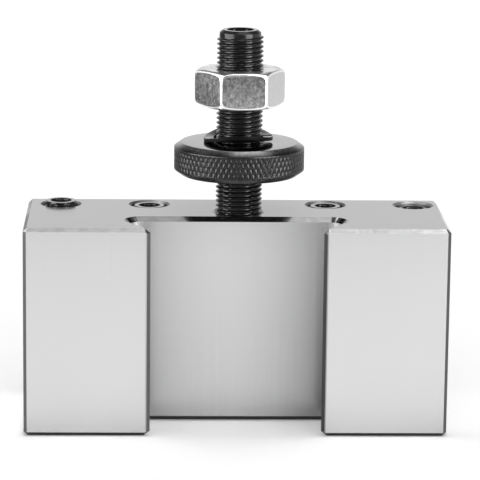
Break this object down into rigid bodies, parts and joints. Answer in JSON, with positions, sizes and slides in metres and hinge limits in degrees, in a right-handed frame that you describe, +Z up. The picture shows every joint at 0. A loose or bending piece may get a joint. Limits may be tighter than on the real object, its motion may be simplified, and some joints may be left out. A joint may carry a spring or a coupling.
{
  "type": "lathe tool holder",
  "caption": "Ground steel lathe tool holder with a dovetail pocket, a tool slot with set screws, and a knurled nut, spring washer and lock nut on a threaded height stud.",
  "frame": {"origin": "middle of the block's underside", "axes": "+X along the block, +Y from the dovetail face to the tool slot, +Z up along the stud"},
  "size_m": [0.09, 0.0328, 0.0846],
  "materials": {
    "ground_steel": "ground, fine vertical grain, polished top",
    "black_oxide": "black oxide, oiled",
    "zinc_plate": "bright zinc plate"
  },
  "bodies": {
    "holder": {"holder_block": "ground_steel", "height_stud": "black_oxide"},
    "height_nut": {"height_nut": "black_oxide", "spring_washer": "black_oxide"},
    "lock_nut": {"lock_nut": "zinc_plate"},
    "set_screw_1": {"set_screw_1": "black_oxide"},
    "set_screw_2": {"set_screw_2": "black_oxide"},
    "set_screw_3": {"set_screw_3": "black_oxide"},
    "set_screw_4": {"set_screw_4": "black_oxide"}
  },
  "joints": [
    {"name": "height_nut_travel", "type": "slide", "parent": "holder", "child": "height_nut", "axis": [0, 0, 1], "range_m": [-0.0081, 0.0052]},
    {"name": "lock_nut_travel", "type": "slide", "parent": "holder", "child": "lock_nut", "axis": [0, 0, 1], "range_m": [-0.0052, 0.008]},
    {"name": "set_screw_1_travel", "type": "slide", "parent": "holder", "child": "set_screw_1", "axis": [0, 0, 1], "range_m": [-0.016, 0.0017]},
    {"name": "set_screw_2_travel", "type": "slide", "parent": "holder", "child": "set_screw_2", "axis": [0, 0, 1], "range_m": [-0.015, 0.0027]},
    {"name": "set_screw_3_travel", "type": "slide", "parent": "holder", "child": "set_screw_3", "axis": [0, 0, 1], "range_m": [-0.015, 0.0027]},
    {"name": "set_screw_4_travel", "type": "slide", "parent": "holder", "child": "set_screw_4", "axis": [0, 0, 1], "range_m": [-0.01455, 0.00315]}
  ]
}
